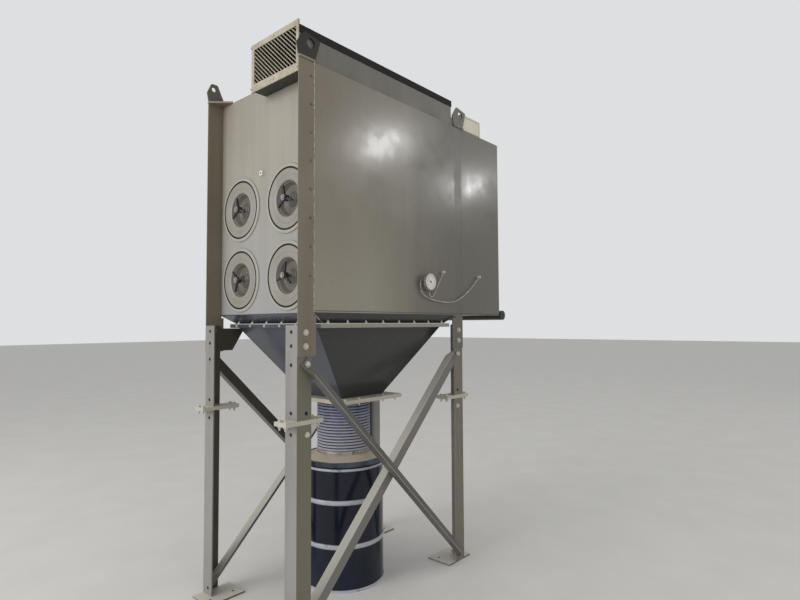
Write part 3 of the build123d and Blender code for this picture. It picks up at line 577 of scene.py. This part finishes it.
def tube(name, route):
    """A soft tube beside the wall, as one smooth spline through its route's control points."""
    curve = bpy.data.curves.new(name, "CURVE")
    curve.dimensions = "3D"
    curve.bevel_depth = TUBE_DIAMETER / 2
    curve.bevel_resolution = 4
    curve.resolution_u = 12
    curve.use_fill_caps = True
    spline = curve.splines.new("NURBS")
    spline.points.add(len(route) - 1)
    for point, (y, z) in zip(spline.points, route):
        point.co = (TUBE_X, y, z, 1.0)
    spline.order_u = 3
    spline.use_endpoint_u = True
    piece = bpy.data.objects.new(name + "_soft", curve)
    bpy.context.scene.collection.objects.link(piece)
    curve.materials.append(tube_plastic)
    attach(piece, "root")
    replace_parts(piece, name)


tube("chamber_tube", CHAMBER_ROUTE)
tube("plenum_tube", PLENUM_ROUTE)


class Shape:
    """One dressing piece, gathered from simple solids."""

    def __init__(self, name, material):
        self.name = name
        self.material = material
        self.mesh = bmesh.new()

    def rod(self, place, direction, radius, length, sides=24, end_radius=None):
        """A cylinder that stands on a point and reaches along a direction."""
        aim = Vector(direction).normalized()
        turned = aim.to_track_quat("Z", "Y").to_matrix().to_4x4()
        centre = Vector(place) + aim * (length / 2)
        bmesh.ops.create_cone(self.mesh, cap_ends=True, segments=sides, radius1=radius,
                              radius2=radius if end_radius is None else end_radius, depth=length,
                              matrix=Matrix.Translation(centre) @ turned)

    def bolt(self, place, direction, across, washer, head):
        """A hexagon head with a bevelled crown on its washer."""
        aim = Vector(direction).normalized()
        base = Vector(place)
        thick = 0.0025
        if washer:
            self.rod(base, aim, washer / 2, thick)
            base = base + aim * thick
        self.rod(base, aim, across * 0.577, head * 0.8, 6)
        self.rod(base + aim * head * 0.8, aim, across * 0.56, head * 0.2, 6, across * 0.46)

    def stud(self, place, direction, across, reach):
        """A nut on its washer with the bolt's end through it."""
        aim = Vector(direction).normalized()
        self.bolt(place, aim, across, across * 1.6, across * 0.55)
        self.rod(place, aim, across * 0.3, reach, 12)

    def block(self, low, high):
        """A box between two corners."""
        size = [top - bottom for bottom, top in zip(low, high)]
        middle = [(top + bottom) / 2 for bottom, top in zip(low, high)]
        bmesh.ops.create_cube(self.mesh, size=1.0,
                              matrix=Matrix.Translation(middle) @ Matrix.Diagonal((*size, 1.0)))

    def torus(self, place, direction, radius, thick, around=64, sides=12):
        """A ring of round section about a point, its axis along a direction."""
        turned = Vector(direction).normalized().to_track_quat("Z", "Y")
        rows = []
        for step in range(around):
            angle = 2 * math.pi * step / around
            row = []
            for side in range(sides):
                tilt = 2 * math.pi * side / sides
                reach = radius + thick * math.cos(tilt)
                local = Vector((reach * math.cos(angle), reach * math.sin(angle), thick * math.sin(tilt)))
                row.append(self.mesh.verts.new(Vector(place) + turned @ local))
            rows.append(row)
        for step in range(around):
            for side in range(sides):
                here, there = rows[step], rows[(step + 1) % around]
                after = (side + 1) % sides
                self.mesh.faces.new((here[side], there[side], there[after], here[after]))

    def join(self, rows):
        """Faces between rows of the same number of points, each row a ring."""
        for here, there in zip(rows, rows[1:]):
            for place in range(len(here)):
                after = (place + 1) % len(here)
                self.mesh.faces.new((here[place], here[after], there[after], there[place]))

    def bead(self, start, end, radius, wobble, seed, step=0.018):
        """A hand-laid line of sealant between two points, of uneven width."""
        draw = random.Random(seed)
        start, end = Vector(start), Vector(end)
        turned = (end - start).to_track_quat("Z", "Y")
        count = round((end - start).length / step)
        rows = []
        for place in range(count + 1):
            drift = Vector((draw.uniform(-wobble, wobble), draw.uniform(-wobble, wobble), 0.0))
            reach = radius * draw.uniform(0.55, 1.25)
            centre = start.lerp(end, place / count)
            row = []
            for side in range(6):
                angle = math.pi * side / 3
                local = drift + Vector((reach * math.cos(angle), reach * math.sin(angle), 0.0))
                row.append(self.mesh.verts.new(centre + turned @ local))
            rows.append(row)
        self.join(rows)
        self.mesh.faces.new(rows[0])
        self.mesh.faces.new(rows[-1])

    def turned(self, outline, around=96):
        """A closed outline of (radius, height) turned about the drum's axis."""
        rows = []
        for step in range(around):
            angle = 2 * math.pi * step / around
            east, north = math.cos(angle), math.sin(angle)
            rows.append([
                self.mesh.verts.new((reach * east, DRUM_Y + reach * north, z)) for reach, z in outline
            ])
        self.join([*rows, rows[0]])

    def done(self, smooth=40.0):
        """Makes the piece, smooth across edges up to an angle, and fixes it to the object."""
        bmesh.ops.recalc_face_normals(self.mesh, faces=self.mesh.faces)
        sharp = math.radians(smooth)
        for face in self.mesh.faces:
            face.smooth = True
        for edge in self.mesh.edges:
            edge.smooth = len(edge.link_faces) == 2 and edge.calc_face_angle() < sharp
        data = bpy.data.meshes.new(self.name)
        self.mesh.to_mesh(data)
        self.mesh.free()
        data.materials.append(self.material)
        piece = bpy.data.objects.new(self.name, data)
        bpy.context.scene.collection.objects.link(piece)
        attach(piece, "root")
        return piece


# Small bolts up the side of the front posts, which hold the side walls
post_bolts = Shape("post_bolts", worn_metal)
for side in SIDES:
    for step in range(8):
        post_bolts.bolt((side * WALL_X, -0.714, 2.087 + 0.169 * step), (side, 0, 0),
                        across=0.011, washer=0.018, head=0.005)
post_bolts.done()

# Heavy bolts where each leg meets its post and braces, front and rear
leg_bolts = Shape("leg_bolts", bolt_metal)
for side in SIDES:
    for end in SIDES:
        for y, z in ((0.749, 1.758), (0.749, 1.678), (0.735, 1.576)):
            leg_bolts.bolt((side * WALL_X, end * y, z), (side, 0, 0), across=0.024, washer=0.038, head=0.012)
        leg_bolts.bolt((side * LEG_X, end * 0.733, 1.175), (side, 0, 0),
                       across=0.024, washer=0.034, head=0.011)
leg_bolts.done()

# Bolts and nuts of the joint half way down each leg
SPLICE_TOP = 1.257
SPLICE_FOOT = 1.233
splice_bolts = Shape("splice_bolts", bolt_metal)
for side in SIDES:
    for end in SIDES:
        for x in (0.423, 0.477):
            for y in (0.865, 0.632):
                splice_bolts.bolt((side * x, end * y, SPLICE_TOP), (0, 0, 1),
                                  across=0.019, washer=0.03, head=0.009)
                splice_bolts.stud((side * x, end * y, SPLICE_FOOT), (0, 0, -1), across=0.019, reach=0.024)
splice_bolts.done()

# Unused holes in the leg angles, each a dark disc on the face, painted shade standing in for the hollow of
# the hole
HOLE_DEPTH = 0.0006
leg_holes = Shape("leg_holes", hole_dark)
for side in SIDES:
    for end in SIDES:
        leg_holes.rod((side * LEG_X, end * 0.739, 1.296), (side, 0, 0), 0.011, HOLE_DEPTH)
        for z in (1.761, 1.681, 1.572, 1.299, 1.178):
            leg_holes.rod((side * 0.448, end * LEG_END, z), (0, end, 0), 0.011, HOLE_DEPTH)
        leg_holes.rod((side * 0.441, end * LEG_END, 0.057), (0, end, 0), 0.010, HOLE_DEPTH)
leg_holes.done()

# Bolts that stand on the flange between the throat and the hopper, and heads on the lip of its ends
flange_bolts = Shape("flange_bolts", bolt_metal)
for side in SIDES:
    for step in range(8):
        flange_bolts.stud((side * 0.482, -0.561 + 0.161 * step, FLANGE_TOP), (0, 0, 1),
                          across=0.015, reach=0.019)
for end in SIDES:
    for step in range(6):
        x = -0.407 + 0.1655 * step
        flange_bolts.stud((x, DRUM_Y + end * 0.619, FLANGE_TOP), (0, 0, 1), across=0.015, reach=0.019)
        flange_bolts.bolt((x, DRUM_Y + end * LIP_END, 1.797), (0, end, 0),
                          across=0.013, washer=0.02, head=0.006)
flange_bolts.done()

# Lines of sealant up the front posts and along the corners of the throat
beads = Shape("sealant_beads", sealant)
for side in SIDES:
    for x, radius, wobble, seed in ((WALL_X, 0.0028, 0.0010, 11), (0.504, 0.0016, 0.0004, 15)):
        beads.bead((side * x, PANEL_Y, WALL_FOOT), (side * x, PANEL_Y, WALL_TOP), radius, wobble, seed + side)
    for end, top in ((-1, PANEL_Y), (1, 0.712)):
        foot = (side * 0.468, DRUM_Y + end * 0.6015, 1.813)
        beads.bead((side * 0.507, top, 1.869), foot, radius=0.0022, wobble=0.0006, seed=21 + side + 2 * end)
beads.done()

# Bolts through the plate under the hopper
plate_bolts = Shape("plate_bolts", bolt_metal)
for side in SIDES:
    for y in (-0.235, -0.108, 0.129, 0.256):
        plate_bolts.stud((side * 0.285, y, PLATE_FOOT), (0, 0, -1), across=0.013, reach=0.018)
        plate_bolts.bolt((side * 0.285, y, PLATE_TOP), (0, 0, 1), across=0.013, washer=0.022, head=0.006)
plate_bolts.done()

# Square plug on the front panel, and a dark disc in its face, painted shade standing in for the hollow of its
# hole
PLUG_FACE = PANEL_Y - 0.014
panel_plug = Shape("panel_plug", dial_paper)
panel_plug.block((-0.031, PLUG_FACE, 2.776), (-0.001, PANEL_Y, 2.806))
panel_plug.done()
plug_hole = Shape("panel_plug_hole", hole_dark)
plug_hole.rod((-0.016, PLUG_FACE, 2.791), (0, -1, 0), 0.006, HOLE_DEPTH)
plug_hole.done()

# Screws along the upper and lower edges of the inlet screen
guard_screws = Shape("guard_screws", bolt_metal)
for x in (0.016, 0.25, 0.482):
    for z in (3.303, 3.571):
        guard_screws.bolt((x, GUARD_Y, z), (0, -1, 0), across=0.011, washer=0.018, head=0.005)
guard_screws.done()

# Nut in the middle of each cover's knob
knob_nuts = Shape("knob_nuts", steel)
for side in SIDES:
    for row in SIDES:
        middle = (side * COVER_X, KNOB_Y, COVER_MIDDLE + row * COVER_ROW)
        knob_nuts.rod(middle, (0, -1, 0), 0.019, 0.002, sides=32)
        knob_nuts.rod(middle, (0, -1, 0), 0.0135, 0.008, sides=6, end_radius=0.0120)
knob_nuts.done()

# The hose, its rounded ribs between two cuffs
RIBS = 16
RIB_STEPS = 12
bellows = Shape("hose_bellows", hose_rubber)
pitch = (PLATE_FOOT - HOSE_FOOT - 2 * HOSE_CUFF) / RIBS
outline = [
    (HOSE_INSIDE, HOSE_FOOT),
    (HOSE_CUFF_RADIUS, HOSE_FOOT),
    (HOSE_CUFF_RADIUS, HOSE_FOOT + HOSE_CUFF),
]
for rib in range(RIBS):
    for step in range(RIB_STEPS):
        rise = math.sqrt(math.sin(math.pi * step / RIB_STEPS))
        z = HOSE_FOOT + HOSE_CUFF + pitch * (rib + step / RIB_STEPS)
        outline.append((HOSE_VALLEY + (HOSE_CREST - HOSE_VALLEY) * rise, z))
outline += [
    (HOSE_CUFF_RADIUS, PLATE_FOOT - HOSE_CUFF),
    (HOSE_CUFF_RADIUS, PLATE_FOOT),
    (HOSE_INSIDE, PLATE_FOOT),
]
bellows.turned(outline)
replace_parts(bellows.done(smooth=50.0), "flexible_hose")

# Closure of the drum's clamping ring, and the screws of the hose clamps
ring_closure = Shape("ring_closure", steel)
for offset in (-0.016, 0.016):
    ring_closure.block((-0.312, DRUM_Y + offset - 0.004, 0.836), (-0.296, DRUM_Y + offset + 0.004, 0.862))
ring_closure.rod((-0.305, DRUM_Y - 0.034, 0.849), (0, 1, 0), 0.004, 0.068, sides=12)
ring_closure.bolt((-0.305, DRUM_Y + 0.02, 0.849), (0, 1, 0), across=0.013, washer=0, head=0.008)
for z in (0.904, 1.258):
    ring_closure.block((-0.198, DRUM_Y - 0.014, z - 0.007), (-0.184, DRUM_Y + 0.014, z + 0.007))
    ring_closure.rod((-0.192, DRUM_Y - 0.024, z), (0, 1, 0), 0.004, 0.048, sides=12)
ring_closure.done()

# Gauge: bezel, dial, scale and pointer
SCALE_RADIUS = 0.045
POINTER_ANGLE = math.radians(160.0)
bezel = Shape("gauge_bezel", bezel_metal)
bezel.torus((GAUGE_X - 0.001, GAUGE_Y, GAUGE_Z), (1, 0, 0), 0.0545, 0.0055)
bezel.torus((GAUGE_X - 0.014, GAUGE_Y, GAUGE_Z), (1, 0, 0), 0.0575, 0.0030)
bezel.done()
dial = Shape("gauge_dial", dial_paper)
dial.rod((GAUGE_X, GAUGE_Y, GAUGE_Z), (1, 0, 0), 0.050, 0.0008, sides=64)
dial.done()
scale = Shape("gauge_scale", ink)
for step in range(31):
    angle = math.radians(225.0 - 9.0 * step)
    outward = Vector((0, math.cos(angle), math.sin(angle)))
    inner, width = (0.035, 0.0007) if step % 5 == 0 else (0.039, 0.0004)
    start = Vector((GAUGE_X + 0.0009, GAUGE_Y, GAUGE_Z)) + outward * inner
    scale.rod(start, outward, width, SCALE_RADIUS - inner, sides=6)
pointer = Vector((0, math.cos(POINTER_ANGLE), math.sin(POINTER_ANGLE)))
pointer_tail = Vector((GAUGE_X + 0.002, GAUGE_Y, GAUGE_Z)) - pointer * 0.010
scale.rod(pointer_tail, pointer, 0.0013, 0.048, sides=8, end_radius=0.0004)
scale.rod((GAUGE_X + 0.0008, GAUGE_Y, GAUGE_Z), (1, 0, 0), 0.005, 0.003, sides=20)
scale.done()

# Door seam of the control box, a dark line on its right side
SEAM_INSET = 0.014
SEAM_HALF_WIDTH = 0.001
box_low, box_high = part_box("control_box")
box_right = box_high[0]
near, far = box_low[1] + SEAM_INSET, box_high[1] - SEAM_INSET
bottom, top = box_low[2] + SEAM_INSET, box_high[2] - SEAM_INSET
seam = Shape("control_box_seam", hole_dark)
for z in (bottom, top):
    seam.block((box_right, near, z - SEAM_HALF_WIDTH), (box_right + HOLE_DEPTH, far, z + SEAM_HALF_WIDTH))
for y in (near, far):
    seam.block((box_right, y - SEAM_HALF_WIDTH, bottom), (box_right + HOLE_DEPTH, y + SEAM_HALF_WIDTH, top))
seam.done()

# Floor, light and background
floor_material = plain("floor_material", linear(226, 224, 219), linear(231, 229, 225), 0.9, scale=2.0,
                       bumpy=0.02)
bpy.ops.mesh.primitive_plane_add(size=120.0, location=(0.0, 0.0, 0.0))
floor = bpy.context.object
floor.name = "floor"
floor.data.materials.append(floor_material)

world = bpy.data.worlds.new("world")
bpy.context.scene.world = world
world.use_nodes = True
background = world.node_tree.nodes["Background"]
background.inputs["Color"].default_value = (0.86, 0.87, 0.88, 1.0)
light_path = world.node_tree.nodes.new("ShaderNodeLightPath")
strength = world.node_tree.nodes.new("ShaderNodeMapRange")
strength.inputs["To Min"].default_value = 0.60
strength.inputs["To Max"].default_value = 0.85
world.node_tree.links.new(light_path.outputs["Is Camera Ray"], strength.inputs["Value"])
world.node_tree.links.new(strength.outputs["Result"], background.inputs["Strength"])


def lamp(name, place, target, size, power):
    """A soft rectangular lamp aimed at a point."""
    data = bpy.data.lights.new(name, "AREA")
    data.shape = "RECTANGLE"
    data.size, data.size_y = size
    data.energy = power
    obj = bpy.data.objects.new(name, data)
    obj.location = place
    obj.rotation_euler = (Vector(target) - Vector(place)).to_track_quat("-Z", "Y").to_euler()
    bpy.context.scene.collection.objects.link(obj)


lamp("front_light", (-1.5, -8.5, 4.4), target=(0.0, 0.0, 1.9), size=(6.0, 5.5), power=360.0)
lamp("side_light", (9.0, -3.0, 3.4), target=(0.0, 0.3, 1.8), size=(5.0, 5.0), power=80.0)
lamp("bay_lamp_near", (7.45, 7.16, 6.36), target=(0.508, -0.128, 3.0), size=(1.1, 0.6), power=46.0)
lamp("bay_lamp_far", (8.37, 12.25, 6.46), target=(0.508, 0.859, 2.918), size=(0.6, 0.4), power=42.0)
